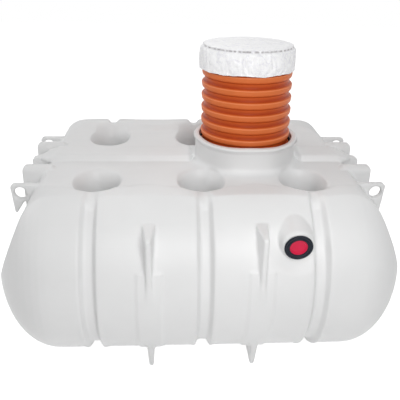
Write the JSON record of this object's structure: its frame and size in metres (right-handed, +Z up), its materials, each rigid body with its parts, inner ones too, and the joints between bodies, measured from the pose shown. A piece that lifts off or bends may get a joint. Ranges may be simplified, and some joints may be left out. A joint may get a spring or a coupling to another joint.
{
  "type": "septic tank",
  "caption": "Low-profile underground septic tank: a white moulded tank with ring grooves, through columns, lifting lugs, feet, an access neck and a corrugated riser under a film cover.",
  "frame": {"origin": "centre of the tank's footprint, on the ground", "axes": "+X along the tank, towards the end that is nearer the neck; -Y towards the inlet; +Z up"},
  "size_m": [2.2538, 2.024, 1.6595],
  "materials": {
    "tank_plastic": "natural white rotomoulded polyethylene",
    "riser_plastic": "orange corrugated polypropylene",
    "cover_film": "white film bonnet, creased",
    "neck_rubber": "black rubber",
    "pipe_rubber": "near-black rubber lip seal",
    "plug_plastic": "crimson transport plug"
  },
  "bodies": {
    "root": {"side_front": "tank_plastic", "side_rear": "tank_plastic", "floor": "tank_plastic", "deck": "tank_plastic", "end_left": "tank_plastic", "end_right": "tank_plastic", "column_front_left": "tank_plastic", "column_front_mid": "tank_plastic", "column_front_right": "tank_plastic", "column_rear_left": "tank_plastic", "column_rear_mid": "tank_plastic", "column_rear_right": "tank_plastic", "deck_rib_left": "tank_plastic", "deck_rib_right": "tank_plastic", "end_rib_front_left": "tank_plastic", "end_rib_front_right": "tank_plastic", "end_rib_rear_left": "tank_plastic", "end_rib_rear_right": "tank_plastic", "lug_front_left": "tank_plastic", "lug_front_right": "tank_plastic", "lug_rear_left": "tank_plastic", "lug_rear_right": "tank_plastic", "foot_front_left": "tank_plastic", "foot_front_right": "tank_plastic", "foot_rear_left": "tank_plastic", "foot_rear_right": "tank_plastic", "neck": "tank_plastic", "neck_seal": "neck_rubber", "riser": "riser_plastic", "cover": "cover_film", "inlet_boss": "tank_plastic", "inlet_seal": "pipe_rubber", "inlet_plug": "plug_plastic", "outlet_boss": "tank_plastic", "outlet_seal": "pipe_rubber", "outlet_plug": "plug_plastic"}
  },
  "joints": []
}
